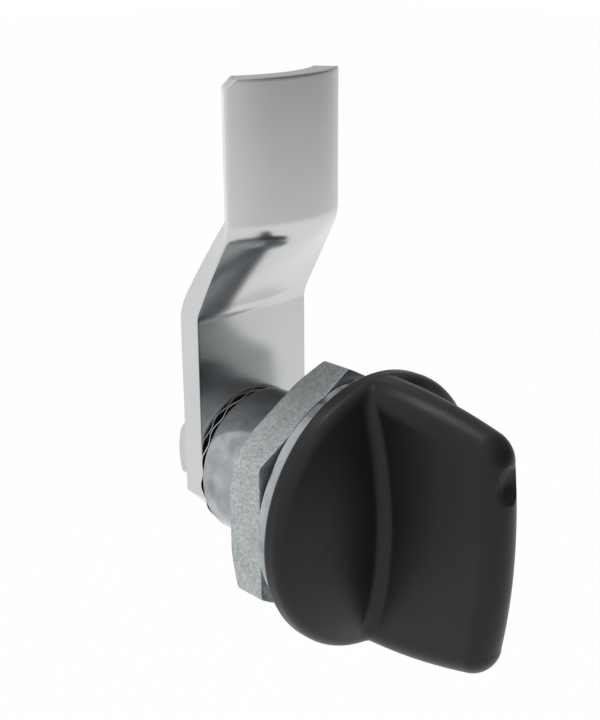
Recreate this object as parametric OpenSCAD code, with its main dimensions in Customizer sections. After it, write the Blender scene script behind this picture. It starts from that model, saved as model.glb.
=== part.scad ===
// Quarter-turn cam latch: a wing knob turns a cranked cam behind a panel.
// The turning axis runs along Y, the knob looks to -Y and the cam points up along +Z.
// The origin is where the axis meets the flange's seat on the front of the panel.

/* [Housing] */
// Diameter of the body that passes through the panel
body_d = 18; // [17:0.5:22]
// Length of the body behind the flange's seat
body_len = 15; // [13:0.5:30]
// Diameter of the front flange
flange_d = 29; // [27:0.5:31]
// Thickness of the front flange
flange_t = 2.6; // [2:0.1:4]
// Bevel at the flange's seat
seat_edge = 0.75; // [0.2:0.05:1]
// Chamfer on the free edges of the housing
housing_edge = 0.3; // [0.1:0.05:0.6]

/* [Mounting nut] */
// Width of the nut across its flats
nut_af = 27; // [25:0.5:32]
// Thickness of the nut
nut_t = 4.8; // [3:0.1:8]
// How far the chamfer of the nut cuts in below its corners
nut_chamfer = 1.7; // [0.5:0.1:2]

/* [Wing knob] */
// Diameter of the knob's disc
knob_d = 31.7; // [30:0.1:40]
// Height of the disc's straight side between its back and its rounded front edge
disc_wall = 1.4; // [0.8:0.1:3]
// Radius of the domed front of the disc
dome_r = 44; // [40:1:80]
// Radius of the disc's rounded front edge
rim_r = 1.6; // [0.8:0.1:2.4]
// Bevel at the back edge of the disc
knob_edge = 0.5; // [0.2:0.05:0.7]
// Height of the wing's crest above the knob's back
wing_h = 19.8; // [15:0.2:26]
// Length of the wing where it leaves the disc
wing_len = 31.2; // [27:0.2:31.2]
// Length of the wing at its crest
crest_len = 27.2; // [20:0.2:28]
// Thickness of the wing where it leaves the disc
wing_t = 6.4; // [5.6:0.1:9]
// Radius of the rounded crest
crest_r = 2.6; // [2:0.1:2.8]
// How much the crest bulges between its ends
crest_bulge = 1.1; // [0.1:0.1:1.5]
// Radius of the wing's upright corners at the disc
wing_corner_r = 1.4; // [0.8:0.1:2.2]
// Radius of the fillet between wing and disc
wing_fillet = 1.4; // [0.6:0.1:1.8]
// Diameter of the position mark sunk into the crest
mark_d = 4.4; // [3:0.1:5]
// Distance of the position mark from the turning axis
mark_pos = 8.4; // [5:0.1:10]
// Depth of the position mark
mark_depth = 1.1; // [0.5:0.1:2]

/* [Spindle] */
// Diameter of the spindle in the housing's bore
spindle_d = 10; // [9.9:0.1:11]
// Square that drives the spindle in the knob
knob_square = 8; // [6:0.1:9]
// Depth of the knob's square socket
socket_depth = 4; // [2.5:0.1:4.4]
// Square that carries the cam
cam_square = 7; // [6.4:0.1:7]
// Angle that the knob turns through
turn = 90; // [45:5:180]
// Angle that the stop lug covers
lug_angle = 40; // [20:5:60]
// Radius of the stop lug's tip
lug_r = 7; // [6.4:0.1:7.4]
// Depth of the stop's pocket in the housing below the flange's seat
stop_depth = 1.5; // [0.8:0.1:3]
// Diameter of the sealing ring's cord
seal_cord = 1.4; // [1:0.1:2]
// Distance of the sealing ring behind the flange's seat
seal_pos = 6; // [4:0.5:8]

/* [Retaining ring and wave washer] */
// Thickness of the retaining ring
clip_t = 1; // [0.6:0.1:1.2]
// Widest radial width of the retaining ring
clip_w = 1.9; // [1.4:0.1:2]
// Depth of the retaining ring's groove in the spindle
clip_groove = 0.2; // [0.1:0.05:0.3]
// How far the retaining ring lies below the rear rim of the housing
clip_sink = 0.3; // [0.2:0.05:1]
// Room round the retaining ring
clip_room = 0.5; // [0.3:0.05:0.8]
// Room that the wave washer fills between housing and cam
wave_room = 0.65; // [0.5:0.05:1.2]
// Thickness of the wave washer
wave_t = 0.15; // [0.1:0.05:0.3]
// Number of waves round the washer
waves = 16; // [3:1:20]
// Angle at which a crest of the washer meets the housing
wave_turn = 16.8; // [0:0.1:60]

/* [Cam] */
// Width of the cam
cam_w = 17; // [15:0.5:22]
// Width of the cam's bowed tip along its sheet
tip_w = 16.1; // [14:0.1:22]
// Thickness of the cam's plate
cam_t = 3; // [2:0.1:4]
// Reach of the cam from the axis to its tip
cam_reach = 46.6; // [42:0.2:70]
// Height at which the cam starts to lean forward
crank_start = 18.7; // [16:0.1:21]
// Height at which the cam is upright again
crank_end = 31.1; // [28:0.1:36]
// How far the crank brings the tip's middle forward
crank = 8.3; // [4:0.1:10]
// Share of the crank's height that each bend takes
bend_share = 0.205; // [0.06:0.005:0.3]
// Half angle of the bow across the tip
bow = 36.7; // [5:0.1:45]
// Corner cut off at one side of the tip
tip_chamfer = 1.1; // [0.5:0.1:3]
// How far the cam reaches below the axis
tail = 8; // [7:0.2:12]
// Corners cut off at the tail
tail_chamfer = 5.6; // [2:0.1:6]

/* [Cam screw] */
// Thread diameter of the cam screw
screw_d = 6; // [4:0.5:6]
// Length of the screw below its head
screw_len = 14; // [10:0.5:16]
// Width of the screw's head across its flats
head_af = 10; // [9:0.5:13]
// Height of the screw's head
head_h = 4; // [2.5:0.1:6]
// Thickness of the split lock washer
washer_t = 1.6; // [1:0.1:2]
// Radial width of the split lock washer
washer_w = 2.3; // [1.5:0.1:3]

/* [Clearances] */
// Running clearance of the spindle, on the radius
run_clear = 0.05; // [0.02:0.01:0.1]
// Gap between flange and knob
knob_gap = 0.3; // [0.2:0.05:0.6]
// Clearance of the stop lug and the retaining ring
part_clear = 0.12; // [0.08:0.01:0.2]
// Clearance of squares, threads and washers, on the radius
fit_clear = 0.05; // [0.02:0.01:0.1]
// Free angle at each end of the turn
stop_clear = 1; // [0.5:0.1:2]
// How far the spindle's square ends short of the cam's back, so that the screw clamps the cam
square_short = 0.2; // [0.1:0.05:0.4]

/* [Hidden] */
$fn = 96;
// Distances along the axis are positive to the front, as seen by who turns the knob.
knob_back = flange_t + knob_gap;
// The rim's circle touches the dome from inside.
rim_x = knob_d / 2 - rim_r;
rim_z = knob_back + disc_wall;
dome_center = rim_z - sqrt(pow(dome_r - rim_r, 2) - pow(rim_x, 2));
rim_touch = rim_x * dome_r / (dome_r - rim_r);
crest_z = knob_back + wing_h;
rod_z = crest_z - crest_r;
rod_y = crest_len / 2 - crest_r;
crest_flat = crest_r / 16;
spindle_r = spindle_d / 2;
bore_r = spindle_r + run_clear;
cam_front = -(body_len + wave_room);
cam_back = cam_front - cam_t;
washer_back = cam_back - washer_t;
clip_floor = -body_len + clip_sink + clip_t + 2 * part_clear;
clip_bore_r = spindle_r + clip_w + clip_room;
groove_r = spindle_r - clip_groove;
seal_floor_r = spindle_r - seal_cord;
seal_half = 0.75 * seal_cord;
// The stop lug hangs below the axis and turns against the clock as seen from the front.
lug_start = 270 - lug_angle / 2;
pocket_start = lug_start - stop_clear;
pocket_span = lug_angle + turn + 2 * stop_clear;
sqrt3 = sqrt(3);
through = 1;

// Places children so that their z runs along the axis to the front and their y points up.
module on_axis() {
    rotate([90, 0, 0]) children();
}

// Slice of a ring from radius r0 to r1, from z0 to z1, over an angle.
module sector(r0, r1, z0, z1, start, span) {
    rotate([0, 0, start])
        rotate_extrude(angle = span)
            translate([r0, z0]) square([r1 - r0, z1 - z0]);
}

// Upright square bar centred on the axis.
module square_bar(side, z0, z1) {
    translate([-side / 2, -side / 2, z0]) cube([side, side, z1 - z0]);
}

// Hexagon prism with flats to the sides, and a cone that takes the corners off at its ends.
module hexagon(af, z0, z1, back_cut, front_cut) {
    corner_r = af / sqrt3;
    intersection() {
        translate([0, 0, z0]) rotate([0, 0, 30]) cylinder(r = corner_r, h = z1 - z0, $fn = 6);
        rotate_extrude()
            polygon([[0, z0], [corner_r - back_cut * sqrt3, z0], [corner_r, z0 + back_cut],
                [corner_r, z1 - front_cut], [corner_r - front_cut * sqrt3, z1], [0, z1]]);
    }
}

module housing() {
    body_r = body_d / 2;
    flange_r = flange_d / 2;
    color([0.78, 0.79, 0.8]) on_axis() difference() {
        rotate_extrude()
            polygon([[0, -body_len], [body_r - housing_edge, -body_len], [body_r, -body_len + housing_edge],
                [body_r, 0], [flange_r - seat_edge, 0], [flange_r, seat_edge],
                [flange_r, flange_t - housing_edge], [flange_r - housing_edge, flange_t], [0, flange_t]]);
        translate([0, 0, -body_len - through]) cylinder(r = bore_r, h = body_len + flange_t + 2 * through);
        translate([0, 0, -body_len - through]) cylinder(r = clip_bore_r, h = clip_floor + body_len + through);
        sector(bore_r / 2, lug_r + part_clear, -stop_depth, flange_t + through, pocket_start, pocket_span);
    }
}

module mounting_nut() {
    color([0.66, 0.69, 0.69]) on_axis() difference() {
        hexagon(nut_af, -nut_t, 0, nut_chamfer / sqrt3, 0);
        translate([0, 0, -nut_t - through]) cylinder(d = body_d + 2 * fit_clear, h = nut_t + 2 * through);
    }
}

// Height of the disc's front at a point, over the dome and then round the rim.
function disc_z(x, y) =
    let (r = sqrt(x * x + y * y))
    r < rim_touch ? dome_center + sqrt(dome_r * dome_r - r * r)
    : rim_z + sqrt(max(0, rim_r * rim_r - pow(r - rim_x, 2)));

// The knob's skin is lofted through closed rings from the crest down the wing, over the fillet and the
// disc and round the rim to the socket. A point of a ring is given by its side and its place along the
// wing, the direction of its rounding, the ray where it meets the rim and its place on the square socket.
corner_steps = 4;
corner_ray = 75;
mark_from = (mark_pos - mark_d / 2) / rod_y;
mark_to = min(0.99, (mark_pos + mark_d / 2) / rod_y);
function between(from, to, steps) = [for (k = [0 : steps - 1]) from + (to - from) * k / steps];
along = concat(between(-1, mark_from, 8), between(mark_from, mark_to, 8), between(mark_to, 1, 1));
side_steps = len(along);
end_steps = 2 * corner_steps + 1;
end_loop = [for (q = [0 : end_steps])
    let (first = q <= corner_steps, place = 1 - 2 * q / end_steps)
    [first ? 1 : -1, 1, 90 * (first ? q : q - 1) / corner_steps, 90 - (90 - corner_ray) * place, place, 1]];
loop = concat(
    end_loop,
    [for (k = [side_steps - 1 : -1 : 1]) let (s = along[k]) [-1, s, 180, 180 - s * corner_ray, -1, s]],
    [for (p = end_loop) [-p[0], -1, p[2] + 180, p[3] + 180, -p[4], -1]],
    [for (k = [1 : side_steps - 1]) let (s = along[k]) [1, s, 0, s * corner_ray, 1, s]]);

// Point of a rounded outline: half core a across and b along the wing, with corner radius r.
function outline(p, a, b, r) = [p[0] * a + r * cos(p[2]), p[1] * b + r * sin(p[2])];

// Point of the wing at a share of the way from its foot (0) to its crest's rod (1): it narrows evenly,
// and its ends lean in with the square of the height.
function wing_point(p, share) =
    let (a = (wing_t / 2 - wing_corner_r) * (1 - share) + crest_flat * share,
        r = wing_corner_r * (1 - share) + (crest_r - crest_flat) * share,
        b = wing_len / 2 - (wing_len - crest_len) / 2 * share * share - r - crest_flat * share,
        xy = outline(p, a, b, r))
    [xy[0], xy[1], rim_z + (rod_z - crest_bulge * p[1] * p[1] - rim_z) * share];

// The fillet gets smaller where the disc ends close in front of the wing's foot.
function room_at(p) =
    let (foot = wing_point(p, 0), out = foot[0] * cos(p[2]) + foot[1] * sin(p[2]))
    sqrt(max(0, knob_d * knob_d / 4 - foot[0] * foot[0] - foot[1] * foot[1] + out * out)) - out;
function fillet_at(p) = max(wing_fillet / 25, min(wing_fillet, 0.8 * room_at(p)));

// Foot of the wing at a point of the loop: the share at which the fillet starts.
function foot_share(p) =
    let (foot = wing_point(p, 0))
    (disc_z(foot[0], foot[1]) + fillet_at(p) - rim_z) / (rod_z - crest_bulge * p[1] * p[1] - rim_z);

// Point of the fillet after an angle, from the wing's side (0) to the disc (90).
function fillet_point(p, angle) =
    let (f = fillet_at(p), w = wing_point(p, foot_share(p)), out = f * (1 - cos(angle)),
        x = w[0] + out * cos(p[2]), y = w[1] + out * sin(p[2]))
    [x, y, angle == 0 ? w[2] : disc_z(x, y) + f * (1 - sin(angle))];

// Point of the disc at a share of the way from the fillet to the start of the rim's last rounding.
function rim_start(p) =
    let (f = fillet_point(p, 90))
    max(rim_touch, norm([f[0], f[1]]) + rim_r / 40);
function disc_point(p, share) =
    let (f = fillet_point(p, 90), r = rim_start(p),
        x = f[0] + (r * cos(p[3]) - f[0]) * share, y = f[1] + (r * sin(p[3]) - f[1]) * share)
    [x, y, disc_z(x, y)];
function rim_point(p, share) =
    let (g = asin(min(1, (rim_start(p) - rim_x) / rim_r)), a = g + (90 - g) * share,
        r = rim_x + rim_r * sin(a))
    [r * cos(p[3]), r * sin(p[3]), rim_z + rim_r * cos(a)];
function round_point(p, r, z) = [r * cos(p[3]), r * sin(p[3]), z];
function square_point(p, half, z) = [half * p[4], half * p[5], z];

// Point of the crest after an angle down from its top, pressed in where the round position mark lies.
dish_r = (pow(mark_d / 2, 2) + mark_depth * mark_depth) / (2 * mark_depth);
dish_z = crest_z - crest_bulge * pow(mark_pos / rod_y, 2) - mark_depth + dish_r;
function dished(x, y, z) =
    let (away = pow(x, 2) + pow(y - mark_pos, 2), floor_z = dish_z - sqrt(max(0, dish_r * dish_r - away)))
    [x, y, away < pow(mark_d / 2, 2) ? min(z, floor_z) : z];
function crest_point(p, angle) =
    let (xy = outline(p, crest_flat, rod_y, (crest_r - crest_flat) * sin(angle)))
    dished(xy[0], xy[1], rod_z + crest_r * cos(angle) - crest_bulge * p[1] * p[1]);

module knob_skin() {
    socket_half = knob_square / 2 + fit_clear;
    socket_floor = knob_back + socket_depth + fit_clear;
    rings = concat(
        [for (angle = [15 : 15 : 90]) [for (p = loop) crest_point(p, angle)]],
        [for (k = [1 : 2]) [for (p = loop) wing_point(p, 1 - (1 - foot_share(p)) * k / 2)]],
        [for (angle = [22.5 : 22.5 : 90]) [for (p = loop) fillet_point(p, angle)]],
        [for (k = [1 : 2]) [for (p = loop) disc_point(p, k / 2)]],
        [for (k = [1 : 3]) [for (p = loop) rim_point(p, k / 3)]],
        [[for (p = loop) round_point(p, knob_d / 2, knob_back + knob_edge)],
            [for (p = loop) round_point(p, knob_d / 2 - knob_edge, knob_back)],
            [for (p = loop) square_point(p, socket_half, knob_back)],
            [for (p = loop) square_point(p, socket_half, socket_floor)]]);
    n = len(loop);
    last = (len(rings) - 1) * n;
    // The first ring is closed across the crest: strips between its sides and a half disc at each end.
    crest = concat(
        [[for (k = [end_steps : -1 : 0]) k]],
        [for (k = [0 : side_steps - 1])
            [end_steps + k, (n - k) % n, n - k - 1, end_steps + k + 1]],
        [[for (k = [2 * end_steps + side_steps : -1 : end_steps + side_steps]) k]]);
    skin = [for (i = [0 : len(rings) - 2], k = [0 : n - 1])
        let (a = i * n + k, b = i * n + (k + 1) % n)
        each [[a, b, b + n], [a, b + n, a + n]]];
    socket = [for (k = [0 : n - 1]) [last + k, last + (k + 1) % n, last + n]];
    polyhedron(concat([for (ring = rings) each ring], [[0, 0, socket_floor]]), concat(crest, skin, socket));
}

module wing_knob() {
    color([0.13, 0.13, 0.14]) on_axis() knob_skin();
}

module spindle() {
    color([0.72, 0.73, 0.74]) on_axis() difference() {
        union() {
            rotate_extrude()
                polygon([[0, cam_front], [spindle_r, cam_front],
                    [spindle_r, clip_floor - clip_t - 2 * part_clear],
                    [groove_r, clip_floor - clip_t - 2 * part_clear],
                    [groove_r, clip_floor], [spindle_r, clip_floor],
                    [spindle_r, -seal_pos - seal_half], [seal_floor_r, -seal_pos - seal_half],
                    [seal_floor_r, -seal_pos + seal_half], [spindle_r, -seal_pos + seal_half],
                    [spindle_r, knob_back], [0, knob_back]]);
            square_bar(knob_square, knob_back - knob_gap / 2, knob_back + socket_depth);
            square_bar(cam_square, cam_back + square_short, cam_front + through);
            sector(spindle_r / 2, lug_r, part_clear - stop_depth, flange_t, lug_start, lug_angle);
        }
        translate([0, 0, cam_back]) cylinder(r = screw_d / 2 + fit_clear, h = screw_len - washer_t + through);
    }
}

module sealing_ring() {
    cord_r = seal_cord / 2 - fit_clear / 2;
    color([0.08, 0.08, 0.08]) on_axis()
        rotate_extrude()
            translate([seal_floor_r + fit_clear / 2 + cord_r, -seal_pos]) circle(r = cord_r, $fn = 32);
}

// Open spring ring, widest opposite its gap, with two eyes for the pliers.
module retaining_ring() {
    inner_r = groove_r + fit_clear;
    shift = clip_w / 8;
    outer_r = spindle_r + clip_w - shift - clip_groove;
    eye_r = clip_w / 2;
    eye_x = inner_r + eye_r;
    eye_angle = 20;
    gap_angle = 12;
    beyond = 2 * spindle_r;
    color([0.12, 0.12, 0.13]) on_axis()
        translate([0, 0, clip_floor - clip_t - part_clear])
            linear_extrude(clip_t) difference() {
                union() {
                    translate([0, shift]) circle(r = outer_r);
                    for (side = [-1, 1])
                        rotate(270 + side * eye_angle) translate([eye_x, 0]) circle(r = eye_r);
                }
                circle(r = inner_r);
                polygon([[0, 0], [-beyond * tan(gap_angle), -beyond], [beyond * tan(gap_angle), -beyond]]);
                for (side = [-1, 1])
                    rotate(270 + side * eye_angle) translate([eye_x, 0]) circle(r = eye_r / 2);
            }
}

// Thin spring ring whose height follows a cosine, so that its crests bear on housing and cam.
module wave_washer() {
    inner_r = clip_bore_r + part_clear;
    outer_r = body_d / 2 - housing_edge / 3;
    swing = (wave_room - wave_t) / 2 - fit_clear;
    mid = -(body_len + wave_room / 2);
    steps = 12 * waves;
    points = [for (i = [0 : steps - 1])
        let (a = 360 * i / steps, z = mid + swing * cos(waves * (a - wave_turn)))
        each [for (c = [[inner_r, -1], [outer_r, -1], [outer_r, 1], [inner_r, 1]])
            [c[0] * cos(a), c[0] * sin(a), z + c[1] * wave_t / 2]]];
    faces = [for (i = [0 : steps - 1], k = [0 : 3])
        let (a = 4 * i + k, b = 4 * i + (k + 1) % 4, c = 4 * ((i + 1) % steps) + (k + 1) % 4,
            d = 4 * ((i + 1) % steps) + k)
        each [[c, b, a], [d, c, a]]];
    color([0.85, 0.86, 0.87]) on_axis() polyhedron(points, faces);
}

// Share of the crank reached at a share of its height, straight in the middle and round at both bends.
function crank_share(t) =
    t <= 0 ? 0
    : t >= 1 ? 1
    : t < bend_share ? t * t / (2 * bend_share * (1 - bend_share))
    : t > 1 - bend_share ? 1 - (1 - t) * (1 - t) / (2 * bend_share * (1 - bend_share))
    : (t - bend_share / 2) / (1 - bend_share);
function crank_slope(t) = max(0, min(t, 1 - t, bend_share)) / (bend_share * (1 - bend_share));

// Point of the plate's section: v runs across the width, side is 1 on the front and -1 on the back.
function section(v, side, angle) =
    angle < 0.01 ? [v * cam_w / 2, side * cam_t / 2]
    : let (mid_r = cam_w / 2 / (angle * PI / 180), r = mid_r + side * cam_t / 2)
      [r * sin(v * angle), r * cos(v * angle) - mid_r];

// Half width of the plate at a height, left and right of the middle: it narrows towards the tip,
// and both corners of the tail are cut off, and the left corner of the tip.
function half_width(h) =
    (cam_w - (cam_w - tip_w) * crank_share((h - crank_start) / (crank_end - crank_start))) / 2;
function half_left(h) = half_width(h) - max(0, tail_chamfer - tail - h, tip_chamfer - cam_reach + h);
function half_right(h) = half_width(h) - max(0, tail_chamfer - tail - h);

// Place of a column across the plate: the inner columns follow the square hole, the outer ones the edge.
hole_half = cam_square / 2 + fit_clear;
hole_columns = 3;
edge_columns = 3;
function column_x(j, h) =
    let (half = j < 0 ? half_left(h) : half_right(h), inner = min(hole_half, 0.7 * half), n = abs(j))
    sign(j) * (n <= hole_columns ? inner * n / hole_columns
        : inner + (half - inner) * (n - hole_columns) / edge_columns);

// The cam is a flat strip with a square hole, which leans forward while its section bows into an arc.
// Its rows run from the tail to the tip, each along the front from left to right and back along the rear.
module cam() {
    bend_steps = 6;
    slope_steps = 8;
    mid = (cam_front + cam_back) / 2;
    rise = crank_end - crank_start;
    shoulder = tail_chamfer - tail;
    heights = concat(
        [-tail, min(-hole_half, shoulder), max(-hole_half, shoulder), hole_half],
        [for (i = [0 : bend_steps - 1]) crank_start + rise * bend_share * i / bend_steps],
        [for (i = [0 : slope_steps - 1])
            crank_start + rise * (bend_share + (1 - 2 * bend_share) * i / slope_steps)],
        [for (i = [bend_steps : -1 : 0]) crank_end - rise * bend_share * i / bend_steps],
        [cam_reach - tip_chamfer, cam_reach]);
    columns = 2 * (hole_columns + edge_columns);
    row = 2 * (columns + 1);
    last = len(heights) - 1;
    points = [for (h = heights)
        let (t = (h - crank_start) / rise, share = crank_share(t), lean = atan(crank * crank_slope(t) / rise))
        each [for (k = [0 : row - 1])
            let (front = k <= columns, j = (front ? k : row - 1 - k) - columns / 2,
                p = section(2 * column_x(j, h) / cam_w, front ? 1 : -1, bow * share))
            [p[0], h - p[1] * sin(lean), mid + crank * share + p[1] * cos(lean)]]];
    // The hole lies between two rows and two columns, on the front and on the rear.
    low = shoulder < -hole_half ? 2 : 1;
    high = 3;
    from = edge_columns;
    to = columns - edge_columns;
    skin = [for (i = [0 : last - 1], k = [0 : row - 1])
        let (c = k <= columns ? k : row - 2 - k,
            in_hole = i >= low && i < high && c >= from && c < to && k != columns,
            a = i * row + k, b = i * row + (k + 1) % row)
        if (!in_hole) each [[a, b + row, b], [a, a + row, b + row]]];
    ends = [for (k = [0 : columns - 1])
        let (f = k, r = row - 1 - k, g = last * row + k, s = last * row + row - 1 - k)
        each [[f, f + 1, r - 1, r], [g, s, s - 1, g + 1]]];
    sills = [for (c = [from : to - 1])
        let (f = low * row + c, r = low * row + row - 1 - c, g = high * row + c, s = high * row + row - 1 - c)
        each [[f, r, r - 1, f + 1], [g, g + 1, s - 1, s]]];
    jambs = [for (i = [low : high - 1])
        let (f = i * row + from, r = i * row + row - 1 - from, g = i * row + to, s = i * row + row - 1 - to)
        each [[f, f + row, r + row, r], [g, s, s + row, g + row]]];
    color([0.74, 0.75, 0.76]) on_axis() polyhedron(points, concat(ends, skin, sills, jambs));
}

// Split spring washer, cut through at a slant.
module lock_washer() {
    inner_r = screw_d / 2 + 2 * fit_clear;
    slit = screw_d / 10;
    slant = 30;
    color([0.6, 0.61, 0.62]) on_axis() difference() {
        translate([0, 0, washer_back]) difference() {
            cylinder(r = inner_r + washer_w, h = washer_t);
            translate([0, 0, -through]) cylinder(r = inner_r, h = washer_t + 2 * through);
        }
        translate([0, 0, (washer_back + cam_back) / 2]) rotate([0, slant, 0])
            translate([-slit / 2, -inner_r - washer_w - through, -washer_t * 2])
                cube([slit, washer_w + 2 * through, washer_t * 4]);
    }
}

module cam_screw() {
    shank_r = screw_d / 2;
    point = screw_d / 8;
    color([0.7, 0.71, 0.72]) on_axis() union() {
        hexagon(head_af, washer_back - head_h, washer_back, head_h / 10, 0);
        rotate_extrude()
            polygon([[0, washer_back - head_h / 2], [shank_r, washer_back - head_h / 2],
                [shank_r, washer_back + screw_len - point], [shank_r - point, washer_back + screw_len],
                [0, washer_back + screw_len]]);
    }
}

housing();
mounting_nut();
wing_knob();
spindle();
sealing_ring();
retaining_ring();
wave_washer();
cam();
lock_washer();
cam_screw();
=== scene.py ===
"""Quarter-turn cam latch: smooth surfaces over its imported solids, with finishes, studio light and camera."""
import logging
from dataclasses import dataclass
from enum import Enum

import bmesh
import bpy
import numpy as np
from mathutils import Matrix


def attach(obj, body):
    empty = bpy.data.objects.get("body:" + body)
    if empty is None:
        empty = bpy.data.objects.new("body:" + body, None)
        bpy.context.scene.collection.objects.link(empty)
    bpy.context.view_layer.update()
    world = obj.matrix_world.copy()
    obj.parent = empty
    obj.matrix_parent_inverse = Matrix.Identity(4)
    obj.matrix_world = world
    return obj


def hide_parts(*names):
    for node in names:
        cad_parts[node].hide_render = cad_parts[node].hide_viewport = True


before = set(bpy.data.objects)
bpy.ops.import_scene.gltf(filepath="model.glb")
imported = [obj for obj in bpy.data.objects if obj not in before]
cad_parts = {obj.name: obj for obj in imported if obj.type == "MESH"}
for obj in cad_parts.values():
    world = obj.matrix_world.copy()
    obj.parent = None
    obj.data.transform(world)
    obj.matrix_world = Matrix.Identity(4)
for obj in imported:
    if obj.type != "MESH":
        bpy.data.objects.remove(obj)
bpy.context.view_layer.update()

LOG = logging.getLogger("cam_latch")
MM = 0.001
SQRT3 = float(np.sqrt(3.0))


class Body(Enum):
    """Bodies of the latch that a piece can ride on."""

    FIXED = "fixed_body"
    ROTOR = "rotor"


class Slot(Enum):
    """Material slots of the record."""

    BRIGHT_ZINC = "bright_zinc"
    GALVANISED = "galvanised_steel"
    KNOB = "black_knob"
    RUBBER = "seal_rubber"
    BLACK_SPRING = "black_spring_steel"
    SPRING = "spring_steel"
    SATIN = "satin_steel"
    SCREW = "screw_steel"


# Surfaces


def to_frame(x: np.ndarray, up: np.ndarray, ahead: np.ndarray) -> np.ndarray:
    """Places the latch's own coordinates in the shared frame: ahead becomes -Y and up becomes Z.

    Args:
        x: distances to the right of the axis, in mm, seen from the knob.
        up: heights above the axis, in mm.
        ahead: distances along the axis towards the knob, in mm.

    Returns:
        Points in metres, with a last axis of X, Y and Z.
    """
    x, up, ahead = np.broadcast_arrays(x, up, ahead)
    return np.stack([x, -ahead, up], axis=-1) * MM


def around_axis(radius: np.ndarray, angle: np.ndarray, ahead: np.ndarray) -> np.ndarray:
    """Places polar coordinates: x is radius times cosine, up is radius times sine.

    Args:
        radius: distances from the axis, in mm.
        angle: angles from the right, in radians, against the clock seen from the knob.
        ahead: distances along the axis towards the knob, in mm.

    Returns:
        Points in metres, with a last axis of X, Y and Z.
    """
    return to_frame(radius * np.cos(angle), radius * np.sin(angle), ahead)


def soft_min(a: np.ndarray, b: np.ndarray, width: float) -> np.ndarray:
    """Lower of two values with a rounded change-over: half of their sum less the root of squared difference and width.

    Args:
        a: first values.
        b: second values.
        width: how far the rounding reaches, in the values' own unit.

    Returns:
        The blended lower values.
    """
    return 0.5 * (a + b - np.sqrt((a - b) ** 2 + width**2))


def hexagon_radius(angle: np.ndarray, across_flats: float, rounding: float) -> np.ndarray:
    """Distance from the axis to a hexagon with flats at the sides: half the width over the cosine to the nearest flat.

    Args:
        angle: angles from the right, in radians.
        across_flats: width over two flats, in mm.
        rounding: how much of each corner is rounded off, in mm.

    Returns:
        Radii in mm.
    """
    sixth = np.pi / 3
    to_flat = (angle + sixth / 2) % sixth - sixth / 2
    flat = across_flats / 2 / np.cos(to_flat)
    return soft_min(flat, np.full_like(flat, across_flats / SQRT3 - rounding), rounding)


def steps_between(start: float, end: float, step: float) -> np.ndarray:
    """Evenly spaced values from start up to, but not including, end, about a step apart."""
    count = max(1, int(np.ceil(abs(end - start) / step)))
    return np.linspace(start, end, count, endpoint=False)


def rounded_profile(corners: list[tuple[float, float, float]], step: float) -> np.ndarray:
    """Closed line through corners, each replaced by a Bezier bend that starts a rounding's length before it.

    Args:
        corners: first coordinate, second coordinate and rounding of each corner, in mm.
        step: spacing of points on the straight lengths, in mm.

    Returns:
        Points of the line, without a repeat of the first, by row.
    """
    points = np.array([corner[:2] for corner in corners])
    rounding = np.array([corner[2] for corner in corners])[:, None]
    ahead = np.roll(points, -1, axis=0) - points
    ahead /= np.linalg.norm(ahead, axis=1, keepdims=True)
    before, after = points - np.roll(ahead, 1, axis=0) * rounding, points + ahead * rounding
    share = np.linspace(0.0, 1.0, 7)[:, None]
    line = []
    for k in range(len(points)):
        if rounding[k, 0] > 0:
            line.append((1 - share) ** 2 * before[k] + 2 * share * (1 - share) * points[k] + share**2 * after[k])
        else:
            line.append(points[k : k + 1])
        start, end = after[k], before[(k + 1) % len(points)]
        reach = float(np.linalg.norm(end - start))
        if reach > step:
            line.append(start + (end - start) * steps_between(0.0, 1.0, step / reach)[1:, None])
    return np.concatenate(line)


class Shell:
    """Collects grids of points and their quads as whole arrays until they become one mesh."""

    def __init__(self) -> None:
        """Starts with no points."""
        self._points: list[np.ndarray] = []
        self._quads: list[np.ndarray] = []
        self._count = 0

    def add(self, grid: np.ndarray, closed: bool = False, ring: bool = False, skip: np.ndarray | None = None) -> None:
        """Adds a grid of points joined by quads.

        Args:
            grid: points by row and column, in metres.
            closed: joins each row's last point to its first.
            ring: joins the last row to the first.
            skip: quads to leave out, by row and column.
        """
        rows, columns = grid.shape[:2]
        number = self._count + np.arange(rows * columns).reshape(rows, columns)
        right, below = np.roll(number, -1, axis=1), np.roll(number, -1, axis=0)
        quads = np.stack([number, right, np.roll(right, -1, axis=0), below], axis=-1)
        quads = quads[: rows if ring else rows - 1, : columns if closed else columns - 1]
        self._quads.append(quads.reshape(-1, 4) if skip is None else quads[~skip])
        self._points.append(grid.reshape(-1, 3))
        self._count += rows * columns

    def piece(self, name: str) -> bpy.types.Object:
        """Makes the mesh, welds its seams and poles and turns its faces outwards.

        Args:
            name: name of the new piece.

        Returns:
            The piece, at the origin of the shared frame.
        """
        mesh = bpy.data.meshes.new(name)
        mesh.from_pydata(np.concatenate(self._points).tolist(), [], np.concatenate(self._quads).tolist())
        work = bmesh.new()
        work.from_mesh(mesh)
        bmesh.ops.remove_doubles(work, verts=work.verts, dist=MM * 0.002)
        bmesh.ops.recalc_face_normals(work, faces=work.faces)
        work.to_mesh(mesh)
        work.free()
        mesh.polygons.foreach_set("use_smooth", np.ones(len(mesh.polygons), dtype=bool))
        mesh.update()
        piece = bpy.data.objects.new(name, mesh)
        bpy.context.scene.collection.objects.link(piece)
        return piece


# Finishes


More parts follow.
